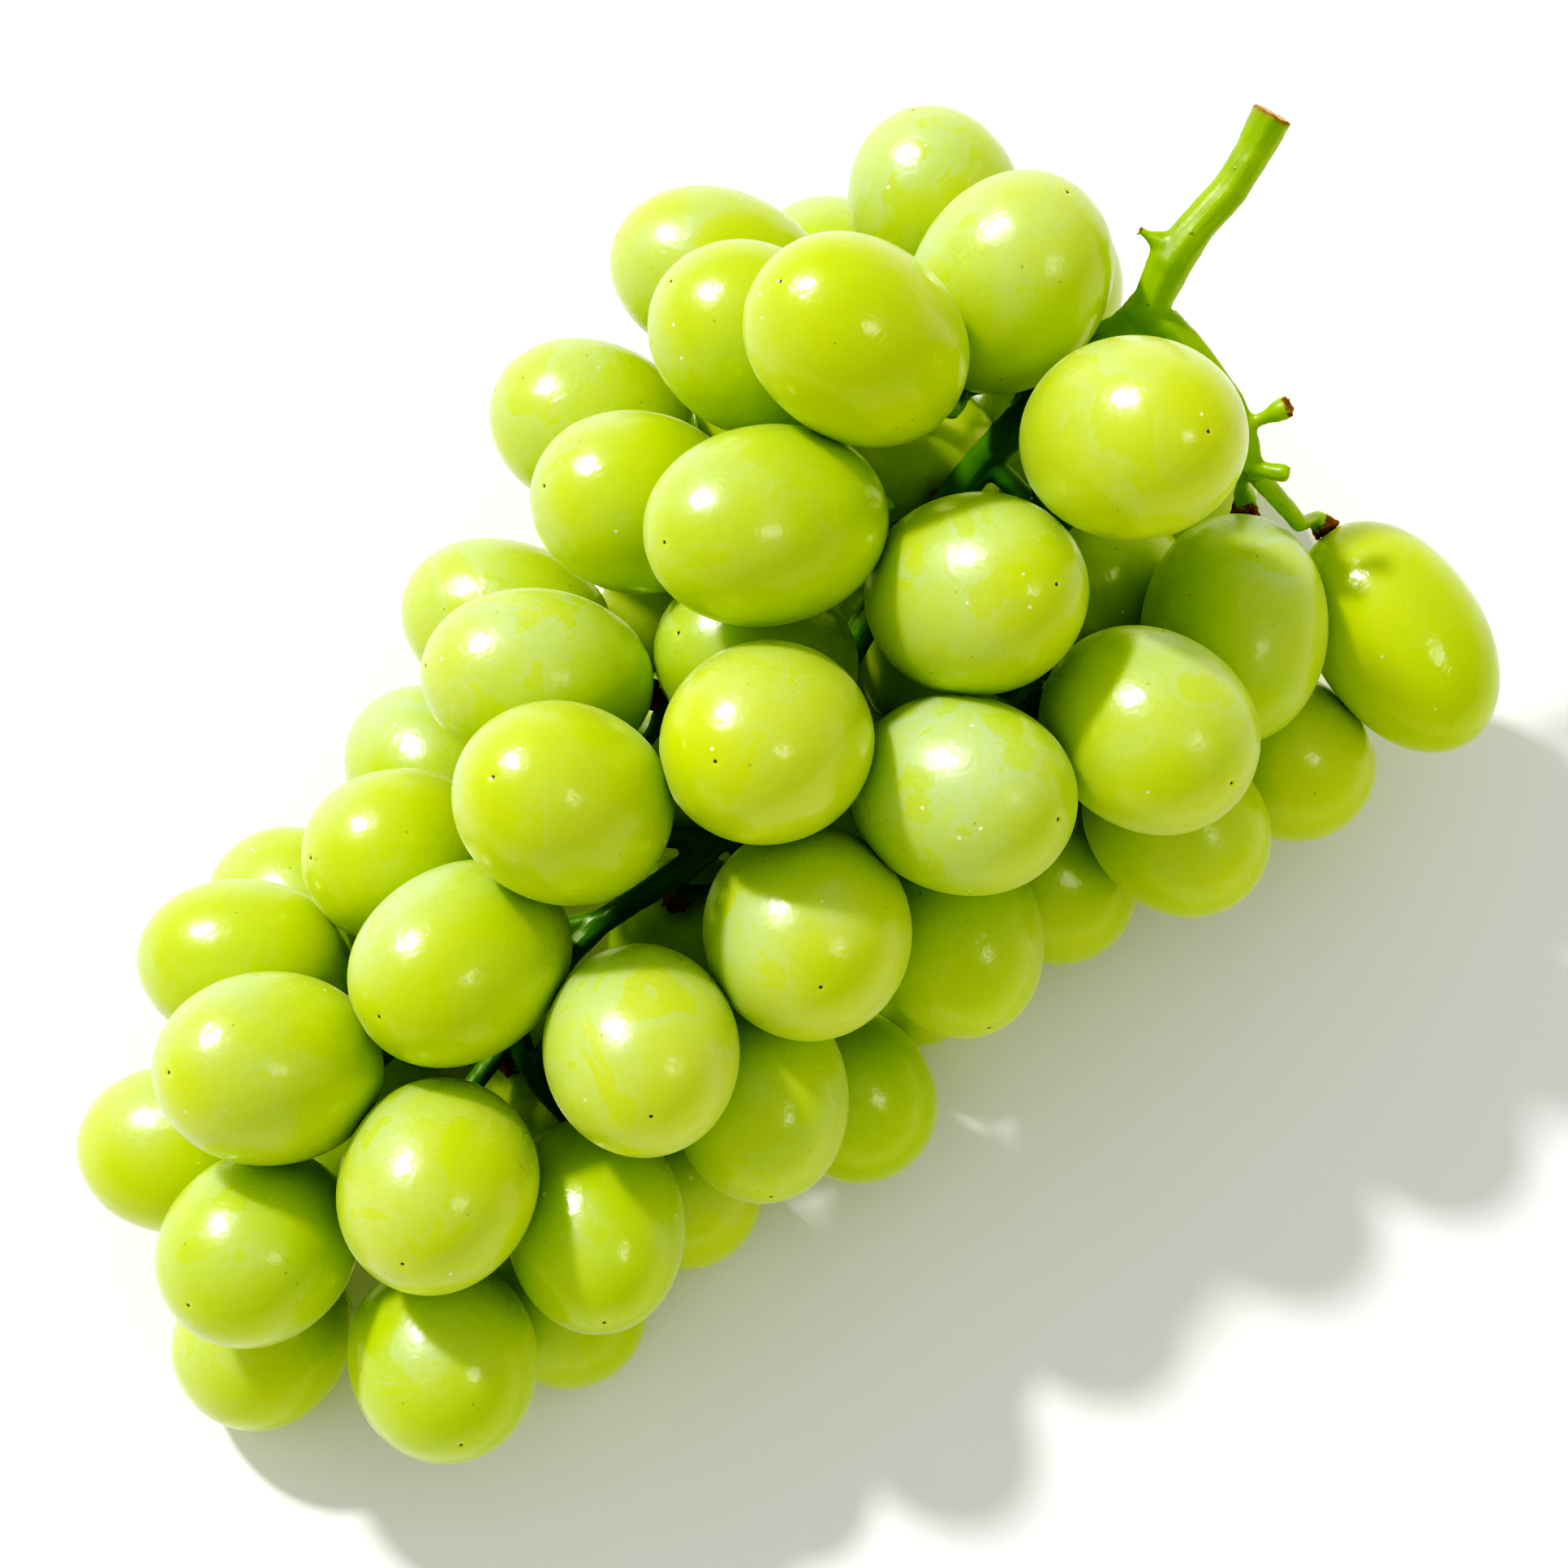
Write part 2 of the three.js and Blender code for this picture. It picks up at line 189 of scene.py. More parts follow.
def makeSpecks():
    # scattered round dots: Share of the cells hold one, Size is its radius as a share of a cell
    group, given, result = newGroup(
        "specks",
        [("Vector", "NodeSocketVector", None), ("Scale", "NodeSocketFloat", 300.0),
         ("Size", "NodeSocketFloat", 0.12), ("Share", "NodeSocketFloat", 0.1)],
        [("Mask", "NodeSocketFloat")])
    cells = addNode(group, "ShaderNodeTexVoronoi")
    dot = addNode(group, "ShaderNodeMapRange", interpolation_type="SMOOTHSTEP")
    dot.inputs["To Min"].default_value = 1.0
    dot.inputs["To Max"].default_value = 0.0
    half = addNode(group, "ShaderNodeMath", operation="MULTIPLY")
    half.inputs[1].default_value = 0.5
    split = addNode(group, "ShaderNodeSeparateColor")
    chosen = addNode(group, "ShaderNodeMath", operation="LESS_THAN")
    both = addNode(group, "ShaderNodeMath", operation="MULTIPLY")
    link(group, given.outputs["Vector"], cells.inputs["Vector"])
    link(group, given.outputs["Scale"], cells.inputs["Scale"])
    link(group, cells.outputs["Distance"], dot.inputs["Value"])
    link(group, given.outputs["Size"], half.inputs[0])
    link(group, half.outputs[0], dot.inputs["From Min"])
    link(group, given.outputs["Size"], dot.inputs["From Max"])
    link(group, cells.outputs["Color"], split.inputs["Color"])
    link(group, split.outputs["Red"], chosen.inputs[0])
    link(group, given.outputs["Share"], chosen.inputs[1])
    link(group, dot.outputs["Result"], both.inputs[0])
    link(group, chosen.outputs[0], both.inputs[1])
    link(group, both.outputs[0], result.inputs["Mask"])
    return group


patchesGroup = makePatches()
specksGroup = makeSpecks()


def useGroup(tree, group, vector, **values):
    node = tree.nodes.new("ShaderNodeGroup")
    node.node_tree = group
    link(tree, vector, node.inputs["Vector"])
    for key, value in values.items():
        node.inputs[key].default_value = value
    return node.outputs["Mask"]


def blendColours(tree, mask, first, second):
    # first where the mask is 0, second where it is 1; a mix node keeps a set of sockets for each kind
    # of value, and its colours are inputs 6 and 7 and output 2
    mix = addNode(tree, "ShaderNodeMix", data_type="RGBA")
    link(tree, mask, mix.inputs[0])
    for source, socket in ((first, mix.inputs[6]), (second, mix.inputs[7])):
        if isinstance(source, bpy.types.NodeSocket):
            link(tree, source, socket)
        else:
            socket.default_value = (*source, 1.0)
    return mix.outputs[2]


def combine(tree, operation, first, second):
    # one sum of two masks or numbers, kept within 0..1
    node = addNode(tree, "ShaderNodeMath", operation=operation, use_clamp=True)
    for source, socket in ((first, node.inputs[0]), (second, node.inputs[1])):
        if isinstance(source, bpy.types.NodeSocket):
            link(tree, source, socket)
        else:
            socket.default_value = source
    return node.outputs[0]


def remap(tree, value, low, high, toLow=0.0, toHigh=1.0):
    # a smooth step from toLow at low to toHigh at high
    node = addNode(tree, "ShaderNodeMapRange", interpolation_type="SMOOTHSTEP")
    link(tree, value, node.inputs["Value"])
    for label, number in (("From Min", low), ("From Max", high), ("To Min", toLow), ("To Max", toHigh)):
        node.inputs[label].default_value = number
    return node.outputs["Result"]


def attribute(tree, name):
    return addNode(tree, "ShaderNodeAttribute", attribute_name=name)


def newMaterial(name):
    material = bpy.data.materials.new(name)
    material.use_nodes = True
    tree = material.node_tree
    shader = tree.nodes["Principled BSDF"]
    return material, tree, shader


grapeSkin = {
    "green": (0.44, 0.60, 0.008),  # flesh, from the least ripe
    "yellow": (0.585, 0.675, 0.012),  # to the ripest
    "vein": (0.64, 0.73, 0.06),
    "powder": (0.52, 0.66, 0.33),
    "scar": (0.03, 0.03, 0.008),
    "speck": (0.95, 0.97, 0.85),
    "pore": (0.16, 0.2, 0.02),
    "glow": 0.8,  # share of the light that goes through the flesh
    "glowReach": (1.0, 0.95, 0.15),
    "glowDepth": 0.0075,  # metres
    "down": 0.3,  # the pale edge that powder gives a round form
    "downRoughness": 0.35,
    "downTint": (0.85, 1.0, 0.75),
    "cloud": {"Scale": 42.0, "Detail": 2.0, "Low": 0.3, "High": 0.7},
    "cloudShare": 0.45,
    "ripenessShare": 0.6,
    "veins": {"Scale": 5.0, "Detail": 3.0, "Low": 0.5, "High": 0.7},
    "veinShare": 0.12,
    "broad": {"Scale": 45.0, "Detail": 1.5, "Low": 0.32, "High": 0.62},
    "mottle": {"Scale": 95.0, "Detail": 4.0, "Low": 0.3, "High": 0.75},
    "rubbed": {"Scale": 95.0, "Detail": 5.0, "Low": 0.56, "High": 0.61},
    "rubbedLeft": 0.5,  # share of the powder that is left on a rubbed patch
    "fine": {"Scale": 700.0, "Detail": 4.0, "Low": 0.25, "High": 0.75},
    "thinnest": 0.22,  # powder between the clouds
    "halo": 0.25,  # how pale the ring round the tip's scar is
    "dust": {"Scale": 420.0, "Size": 0.14, "Share": 0.05},
    "pores": {"Scale": 520.0, "Size": 0.13, "Share": 0.08},
    "hammered": {"Scale": 380.0, "Detail": 1.0, "Low": 0.2, "High": 0.8},
    "grain": {"Scale": 900.0, "Detail": 2.0, "Low": 0.2, "High": 0.8},
    "roughness": (0.2, 0.33),  # bare, and where powder is thick
    "gloss": (0.35, 0.06),  # weight of the broad soft gloss, bare and where powder is thick
    "glossRoughness": 0.42,
    "refraction": 1.5,
}


def makeGrapeSkin():
    material, tree, shader = newMaterial("grapeSkin")
    place = addNode(tree, "ShaderNodeTexCoord").outputs["Object"]
    ripeness = attribute(tree, "ripeness").outputs["Fac"]
    powderAndSunPaling = attribute(tree, "powderAndSunPaling").outputs["Fac"]
    fromTip = attribute(tree, "fromTip").outputs["Fac"]
    meridian = attribute(tree, "meridian").outputs["Vector"]

    # flesh colour: each berry has its own, clouded, with faint paler veins from end to end
    cloud = useGroup(tree, patchesGroup, place, **grapeSkin["cloud"])
    cloud = combine(tree, "MULTIPLY", cloud, grapeSkin["cloudShare"])
    tone = combine(tree, "ADD", cloud, combine(tree, "MULTIPLY", ripeness, grapeSkin["ripenessShare"]))
    flesh = blendColours(tree, tone, grapeSkin["green"], grapeSkin["yellow"])
    veins = useGroup(tree, patchesGroup, meridian, **grapeSkin["veins"])
    veins = combine(tree, "MULTIPLY", veins, grapeSkin["veinShare"])
    flesh = blendColours(tree, veins, flesh, grapeSkin["vein"])

    # powder: a broad soft cloud on each berry, with a mottle and a few patches rubbed clean
    broad = useGroup(tree, patchesGroup, place, **grapeSkin["broad"])
    mottle = useGroup(tree, patchesGroup, place, **grapeSkin["mottle"])
    rubbed = useGroup(tree, patchesGroup, place, **grapeSkin["rubbed"])
    fine = useGroup(tree, patchesGroup, place, **grapeSkin["fine"])
    powder = combine(tree, "MULTIPLY", broad, remap(tree, mottle, 0.0, 1.0, 0.5, 1.0))
    powder = combine(tree, "ADD", powder, grapeSkin["thinnest"])
    # each berry's own powder, laid thicker and paler on its sun's side as painted light
    powder = combine(tree, "MULTIPLY", powder, powderAndSunPaling)
    left = remap(tree, rubbed, 0.0, 1.0, 1.0, grapeSkin["rubbedLeft"])
    powder = combine(tree, "MULTIPLY", powder, left)
    powder = combine(tree, "MULTIPLY", powder, remap(tree, fine, 0.0, 1.0, 0.85, 1.0))
    skin = blendColours(tree, powder, flesh, grapeSkin["powder"])

    # the tip's scar, a small corky dot in a pale ring; millimetres from the tip
    halo = combine(tree, "MULTIPLY", remap(tree, fromTip, 0.4, 1.5, 1.0, 0.0), grapeSkin["halo"])
    skin = blendColours(tree, halo, skin, grapeSkin["vein"])
    scar = remap(tree, fromTip, 0.14, 0.34, 1.0, 0.0)
    skin = blendColours(tree, scar, skin, grapeSkin["scar"])

    dust = useGroup(tree, specksGroup, place, **grapeSkin["dust"])
    skin = blendColours(tree, combine(tree, "MULTIPLY", dust, 0.6), skin, grapeSkin["speck"])
    pores = useGroup(tree, specksGroup, place, **grapeSkin["pores"])
    skin = blendColours(tree, combine(tree, "MULTIPLY", pores, 0.5), skin, grapeSkin["pore"])

    # the skin's own shine is crisp where it is bare; a broad soft gloss lies over it
    rough = remap(tree, powder, 0.0, 0.7, *grapeSkin["roughness"])
    rough = combine(tree, "ADD", rough, combine(tree, "MULTIPLY", dust, 0.2))
    gloss = remap(tree, powder, 0.0, 0.6, *grapeSkin["gloss"])

    # a faint hammered unevenness breaks up the reflections, with finer grain over it
    bump = addNode(tree, "ShaderNodeBump", Strength=0.5, Distance=0.0003)
    hammered = useGroup(tree, patchesGroup, place, **grapeSkin["hammered"])
    grain = useGroup(tree, patchesGroup, place, **grapeSkin["grain"])
    hammered = combine(tree, "MULTIPLY", hammered, 0.35)
    height = combine(tree, "ADD", hammered, combine(tree, "MULTIPLY", grain, 0.12))
    link(tree, combine(tree, "ADD", height, combine(tree, "MULTIPLY", dust, 0.4)), bump.inputs["Height"])

    link(tree, skin, shader.inputs["Base Color"])
    link(tree, rough, shader.inputs["Roughness"])
    link(tree, bump.outputs["Normal"], shader.inputs["Normal"])
    link(tree, gloss, shader.inputs["Coat Weight"])
    shader.inputs["Coat Roughness"].default_value = grapeSkin["glossRoughness"]
    shader.inputs["Sheen Weight"].default_value = grapeSkin["down"]
    shader.inputs["Sheen Roughness"].default_value = grapeSkin["downRoughness"]
    shader.inputs["Sheen Tint"].default_value = (*grapeSkin["downTint"], 1.0)
    shader.inputs["Subsurface Weight"].default_value = grapeSkin["glow"]
    shader.inputs["Subsurface Radius"].default_value = grapeSkin["glowReach"]
    shader.inputs["Subsurface Scale"].default_value = grapeSkin["glowDepth"]
    shader.inputs["IOR"].default_value = grapeSkin["refraction"]
    return material


bark = {
    "green": (0.31, 0.48, 0.012),
    "deep": (0.11, 0.26, 0.006),
    "streak": (0.40, 0.56, 0.03),
    "wart": (0.15, 0.10, 0.02),
    "cork": (0.36, 0.15, 0.04),
    "dark": (0.06, 0.03, 0.008),
    "innerTintAndShade": (0.055, 0.17, 0.005),  # darker green inside the bunch: partly the stalk's own colour, partly painted shade where the bunch keeps the light off
    "pith": (0.72, 0.52, 0.27),
    "rim": (0.30, 0.13, 0.035),
    "streaks": {"Scale": 2.2, "Detail": 3.0, "Low": 0.4, "High": 0.75},
    "streakShare": 0.22,
    "cloud": {"Scale": 130.0, "Detail": 4.0, "Low": 0.38, "High": 0.75},
    "cloudShare": 0.5,
    "warts": {"Scale": 750.0, "Size": 0.28, "Share": 0.06},
    "wartShare": 0.6,
    "crumbs": {"Scale": 900.0, "Detail": 5.0, "Low": 0.35, "High": 0.65},
    "roughness": (0.42, 0.8),  # living bark, and cork
    "glow": 0.25,
    "glowReach": (0.6, 1.0, 0.2),
    "glowDepth": 0.0012,  # metres
}


def makeBark():
    material, tree, shader = newMaterial("greenBark")
    place = addNode(tree, "ShaderNodeTexCoord").outputs["Object"]
    corky = attribute(tree, "corky").outputs["Fac"]
    cut = attribute(tree, "cut").outputs["Fac"]
    innerTintAndShade = attribute(tree, "innerTintAndShade").outputs["Fac"]
    fromCore = attribute(tree, "fromCore").outputs["Fac"]
    lengthwise = attribute(tree, "lengthwise").outputs["Vector"]

    # green, deeper in clouds, with pale streaks along the stalk and small brown warts, and darker inside
    # the bunch, partly its own colour and partly painted shade
    streaks = useGroup(tree, patchesGroup, lengthwise, **bark["streaks"])
    cloud = useGroup(tree, patchesGroup, place, **bark["cloud"])
    deep = combine(tree, "MULTIPLY", cloud, bark["cloudShare"])
    green = blendColours(tree, deep, bark["green"], bark["deep"])
    pale = combine(tree, "MULTIPLY", streaks, bark["streakShare"])
    green = blendColours(tree, pale, green, bark["streak"])
    green = blendColours(tree, combine(tree, "MULTIPLY", innerTintAndShade, 0.85), green, bark["innerTintAndShade"])
    warts = useGroup(tree, specksGroup, place, **bark["warts"])
    green = blendColours(tree, combine(tree, "MULTIPLY", warts, bark["wartShare"]), green, bark["wart"])

    # cork at the ends of the berry stalks, ragged at its edge
    crumbs = useGroup(tree, patchesGroup, place, **bark["crumbs"])
    brown = blendColours(tree, combine(tree, "MULTIPLY", crumbs, 0.6), bark["cork"], bark["dark"])
    ragged = combine(tree, "MULTIPLY", corky, remap(tree, crumbs, 0.0, 1.0, 0.6, 1.25))
    corkMask = remap(tree, ragged, 0.38, 0.62)
    colour = blendColours(tree, corkMask, green, brown)

    # the cut end: dry pith inside a brown rim, millimetres from the core
    face = blendColours(tree, remap(tree, fromCore, 1.9, 2.5), bark["pith"], bark["rim"])
    face = blendColours(tree, combine(tree, "MULTIPLY", crumbs, 0.4), face, bark["rim"])
    colour = blendColours(tree, cut, colour, face)

    bump = addNode(tree, "ShaderNodeBump", Strength=0.5, Distance=0.0003)
    rawness = combine(tree, "MAXIMUM", corkMask, cut)
    height = combine(tree, "MULTIPLY", streaks, 0.15)
    height = combine(tree, "ADD", height, combine(tree, "MULTIPLY", warts, 0.5))
    rawEnds = combine(tree, "MULTIPLY", crumbs, rawness)
    height = combine(tree, "ADD", height, combine(tree, "MULTIPLY", rawEnds, 0.6))
    link(tree, height, bump.inputs["Height"])
    link(tree, colour, shader.inputs["Base Color"])
    link(tree, remap(tree, rawness, 0.0, 1.0, *bark["roughness"]), shader.inputs["Roughness"])
    link(tree, bump.outputs["Normal"], shader.inputs["Normal"])
    shader.inputs["Subsurface Weight"].default_value = bark["glow"]
    shader.inputs["Subsurface Radius"].default_value = bark["glowReach"]
    shader.inputs["Subsurface Scale"].default_value = bark["glowDepth"]
    return material


grapeSkinMaterial = makeGrapeSkin()
barkMaterial = makeBark()
print("Materials made")


berry = {
    "around": 80,  # corners in each ring
    "bands": 30,  # rings between the closer ones at its two ends
    "swell": 0.0003,  # how much rounder than its node, so that neighbours meet
    "fullness": 0.012,  # squarer than an ellipse by this share, half way to each end
    "taper": (-0.025, 0.035),  # how much wider at the stalk than at the tip, least and most
    "unevenness": 0.010,
    "unevenSize": 0.022,  # metres from one swelling to the next
    "dent": 0.0007,  # depth of the hollow round the stalk
    "dentRadius": 0.0024,
    "shallow": {"o1": 0.15},  # share of that depth where the stalk meets the berry from the side
    "pit": 0.00022,  # depth of the tip's scar
    "pitRadius": 0.0004,
    "softness": 0.00025,  # how gently a face pressed on a neighbour turns into the round
    "nearby": 0.04,  # berries farther apart than this can't touch
    "slit": 0.00002,  # what stays open on each side of a pressed face
    "powder": (0.4, 0.65),  # how much powder a berry carries, from the cleanest to the palest
    "ownPowder": {"a1": 0.35, "c1": 0.45, "d1": 0.4, "e1": 1.2, "f1": 0.75, "g1": 0.85, "h1": 0.4,
                  "h2": 0.75, "i1": 0.4, "i4": 0.8, "k1": 0.7, "l1": 0.55, "n1": 0.65, "o1": 0.15},
    "ownRipeness": {"a1": 0.8, "c1": 0.8, "e1": 0.0, "h1": 0.8, "i1": 0.6, "l1": 0.7, "l2": 0.2,
                    "o1": 0.6},
    "powderAndSunSide": (-0.45, 0.8, 0.4),  # the side that keeps most of it, which is also painted paler for the sun's light falling there: right, up and out on the face
}


def cornersOf(node):
    # where a node's corners are, each place once
    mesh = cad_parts[node].data
    corners = np.empty(len(mesh.vertices) * 3)
    mesh.vertices.foreach_get("co", corners)
    return np.unique(np.round(corners.reshape(-1, 3), 6), axis=0)


stemCorners = cornersOf("stem")


def readBerry(node):
    # the ellipsoid through a node's corners: x'Ax + 2b'x = 1 by least squares, then its middle and axes
    corners = cornersOf(node)
    # corners on the floor are left out, because they belong to the flat it stands on
    corners = corners[corners[:, 2] > 0.0002]
    shift = corners.mean(0)
    x, y, z = ((corners - shift) / 0.01).T
    terms = np.stack([x * x, y * y, z * z, 2 * x * y, 2 * x * z, 2 * y * z, 2 * x, 2 * y, 2 * z], 1)
    s = np.linalg.lstsq(terms, np.ones(len(x)), rcond=None)[0]
    form = np.array([[s[0], s[3], s[4]], [s[3], s[1], s[5]], [s[4], s[5], s[2]]])
    middle = -np.linalg.solve(form, s[6:9])
    sizes, ways = np.linalg.eigh(form / (1 + middle @ form @ middle))
    halves = 0.01 / np.sqrt(sizes)
    middle = shift + 0.01 * middle
    tip = ways[:, 0]
    # its tip is the end farther from the stem
    ends = [middle + side * halves[0] * tip for side in (1, -1)]
    reach = [np.linalg.norm(stemCorners - end, axis=1).min() for end in ends]
    return {
        "node": node, "name": node[6:], "middle": middle, "tip": tip if reach[0] > reach[1] else -tip,
        "halfLength": halves[0], "halfWidth": (halves[1] + halves[2]) / 2,
    }


berries = [readBerry(node) for node in sorted(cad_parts) if node.startswith("berry_")]


def reachOf(one, way):
    # how far a berry reaches along a direction
    lean = way @ one["tip"]
    return math.sqrt(one["halfWidth"] ** 2 + (one["halfLength"] ** 2 - one["halfWidth"] ** 2) * lean ** 2)


def pressedOn(points, origin, way, softness):
    # points beyond a plane are brought back onto it, turning gently where they meet it
    beyond = (points - origin) @ way
    k = softness
    moved = np.where(beyond > k, 0.0, beyond - (beyond + k) ** 2 / (4 * k))
    return points + np.outer(np.where(beyond < -k, 0.0, moved - beyond), way)


def berryRings():
    # shares of the half turn from foot to tip, closer together at both ends
    ends = np.array([0.012, 0.03, 0.055, 0.085, 0.12, 0.165])
    tipEnds = np.array([0.004, 0.008, 0.012, 0.017, 0.024, 0.034, 0.05, 0.08, 0.12, 0.165])
    middle = np.linspace(0.21, 0.79, berry["bands"])
    return np.concatenate([ends, middle, 1 - tipEnds[::-1]])


def berryShape(one, seed):
    # an ellipsoid about the tip's direction, a little full and uneven, hollowed at the stalk and
    # pitted at the tip
    pick = np.random.default_rng(seed)
    share = np.concatenate([np.repeat(berryRings(), berry["around"]), [0.0, 1.0]])
    spin = np.tile(np.linspace(0, 2 * math.pi, berry["around"], endpoint=False), len(berryRings()))
    spin = np.concatenate([spin, [0.0, 0.0]])
    polar = math.pi * share
    side = np.cross(one["tip"], [0.31, 0.27, 0.91])
    side /= np.linalg.norm(side)
    other = np.cross(one["tip"], side)
    full = 1 + berry["fullness"] * np.sin(2 * polar) ** 2
    a = (one["halfLength"] + berry["swell"]) * full
    b = (one["halfWidth"] + berry["swell"]) * full
    b = b * (1 + pick.uniform(*berry["taper"]) * np.cos(polar))
    ring = b * np.sin(polar)
    points = np.outer(-a * np.cos(polar), one["tip"])
    points += np.outer(ring * np.cos(spin), side) + np.outer(ring * np.sin(spin), other)
    swelling = waves(points + 0.1 * seed, berry["unevenSize"], 6, seed)
    points *= 1 + berry["unevenness"] * 0.5 * swelling[:, None]
    dent = berry["dent"] * berry["shallow"].get(one["name"], 1.0)
    dent = dent * np.exp(-(ring / berry["dentRadius"]) ** 2) * (share < 0.5)
    pit = berry["pit"] * np.exp(-(ring / berry["pitRadius"]) ** 2) * (share > 0.5)
    points += np.outer(dent - pit, one["tip"])
    return one["middle"] + points, share, spin, ring


def pressNeighbours(points, one):
    # flats where it meets its neighbours, half way between each two, and where it stands on the floor
    for other in berries:
        way = other["middle"] - one["middle"]
        distance = np.linalg.norm(way)
        if other is one or distance > berry["nearby"]:
            continue
        way /= distance
        slack = distance - reachOf(one, way) - reachOf(other, way)
        meet = one["middle"] + way * (reachOf(one, way) + slack / 2 - berry["slit"])
        points = pressedOn(points, meet, way, berry["softness"])
    return pressedOn(points, np.zeros(3), np.array([0.0, 0.0, -1.0]), berry["softness"])


def makeBerry(index, one):
    points, share, spin, ring = berryShape(one, index + 11)
    points = pressNeighbours(points, one)
    pick = np.random.default_rng(300 + index)
    ripeness = pick.uniform(0.1, 0.9)
    powder = pick.uniform(*berry["powder"])
    name = one["name"]
    ripeness = np.full(len(points), berry["ownRipeness"].get(name, ripeness))
    # more powder near the stalk, and on the sun's side more powder together with painted light that makes
    # that side paler
    powderAndSunPaling = berry["ownPowder"].get(name, powder) * (1.25 - 0.5 * share)
    ways = points - one["middle"]
    ways /= np.linalg.norm(ways, axis=1, keepdims=True)
    powderAndSunPaling *= 0.85 + 0.65 * (ways @ fromFace(berry["powderAndSunSide"]))
    fromTip = np.where(share > 0.5, ring / mm, 99.0)
    meridian = np.stack([np.cos(spin), np.sin(spin), share * 0.6 + index * 3.7], 1)
    obj = meshFrom(
        "grape_" + name, points, closedGridFaces(len(berryRings()), berry["around"]), grapeSkinMaterial,
        {"ripeness": ripeness, "powderAndSunPaling": powderAndSunPaling, "fromTip": fromTip, "meridian": meridian})
    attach(obj, "root")
    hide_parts(one["node"])


for index, one in enumerate(berries):
    makeBerry(index, one)
print("Berries made:", len(berries))


stem = {
    "voxel": 0.00045,
    "smoothing": 20,
    # heights in metres, and for lumps and crumbs the distance from one to the next
    "lumps": 0.00004,
    "lumpSize": 0.005,
    "crumbs": 0.00022,
    "crumbSize": 0.0011,
    "ridges": 0.00006,
    "ridgeReach": 0.0055,  # how far from a thick stalk's middle the ridges end
    "cutDepth": 0.0007,
    # the main stalk from the cut end into the bunch, and the wing's stalk: millimetres on the face
    "stalk": [(62, 85, -6), (57, 76, -8), (50, 68, -10), (46, 60, -14), (37, 53, -23), (25, 41, -32),
              (10, 20, -35), (-3, -1, -34), (-13, -11, -32), (-25, -19, -31), (-36, -33, -30),
              (-48, -50, -30)],
    "wing": [(46, 60, -14), (49, 58.6, -14.5), (52.7, 55, -16), (56, 51, -17.5), (58.4, 47.6, -19),
             (59.6, 44.2, -20.5), (60.6, 41, -22.5), (62.7, 38.8, -25.5), (65.6, 36.2, -30),
             (67.6, 34.2, -33.5)],
    "footCork": 2.6,  # how far from each berry's foot the stem is corky, millimetres
    # bare ends that have turned to cork: place and how far the cork reaches, millimetres
    "bareEnds": [(65.6, 48.8, -16.8, 1.7), (66, 40, -20.3, 0.8), (44.2, 70.9, -8.8, 1.3)],
}


def smoothLine(places, count):
    # a smooth line through the places: at share u between two of them, half of 2b + (c - a)u
    # + (2a - 5b + 4c - d)uu + (3b - 3c + d - a)uuu, where a, b, c, d are the four nearest
    knots = np.array([onFace(place) for place in places])
    knots = np.vstack([2 * knots[0] - knots[1], knots, 2 * knots[-1] - knots[-2]])
    way = np.linspace(0, len(places) - 1.0001, count)
    start = way.astype(int)
    u = (way - start)[:, None]
    a, b, c, d = (knots[start + step] for step in range(4))
    square = (2 * a - 5 * b + 4 * c - d) * u ** 2
    cube = (3 * b - 3 * c + d - a) * u ** 3
    return 0.5 * (2 * b + (c - a) * u + square + cube)


def besideLine(points, line):
    # for each point: how far along the line, how far from it, and the angle about it
    gaps = (points ** 2).sum(1)[:, None] - 2 * points @ line.T + (line ** 2).sum(1)
    nearest = gaps.argmin(1)
    ways = np.gradient(line, axis=0)
    ways /= np.linalg.norm(ways, axis=1, keepdims=True)
    across = outWay - (ways @ outWay)[:, None] * ways
    across /= np.linalg.norm(across, axis=1, keepdims=True)
    sideways = np.cross(ways, across)
    off = points - line[nearest]
    travelled = np.concatenate([[0.0], np.linalg.norm(np.diff(line, axis=0), axis=1).cumsum()])
    forward = (off * ways[nearest]).sum(1)
    angle = np.arctan2((off * sideways[nearest]).sum(1), (off * across[nearest]).sum(1))
    away = np.sqrt(np.maximum((off ** 2).sum(1) - forward ** 2, 0))
    return travelled[nearest] + forward, away, angle


def evened(points, edges, rounds):
    # each corner moves to the mean of its neighbours and then a little more than back, which takes
    # out facets but keeps the thickness
    first, second = edges.T
    count = len(points)
    degree = np.bincount(first, minlength=count) + np.bincount(second, minlength=count)
    for turn in range(rounds):
        for pace in (0.6, -0.63):
            total = np.stack([np.bincount(first, points[second, axis], count)
                              + np.bincount(second, points[first, axis], count) for axis in range(3)], 1)
            points = points + pace * (total / degree[:, None] - points)
    return points


def mergedCopy(node):
    # a copy of a node's mesh whose faces share their corners
    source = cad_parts[node].data.copy()
    work = bmesh.new()
    work.from_mesh(source)
    bmesh.ops.remove_doubles(work, verts=work.verts, dist=1e-6)
    work.to_mesh(source)
    work.free()
    source.materials.clear()
    return source


def oneSkin(source):
    # the stalks run together into one even skin of small squares
    draft = bpy.data.objects.new("stemDraft", source)
    scene.collection.objects.link(draft)
    remesh = draft.modifiers.new("skin", "REMESH")
    remesh.mode = "VOXEL"
    remesh.voxel_size = stem["voxel"]
    depsgraph = bpy.context.evaluated_depsgraph_get()
    mesh = bpy.data.meshes.new_from_object(draft.evaluated_get(depsgraph))
    bpy.data.objects.remove(draft)
    return mesh


def readVectors(data, field, count):
    values = np.empty(count * 3)
    data.foreach_get(field, values)
    return values.reshape(-1, 3)


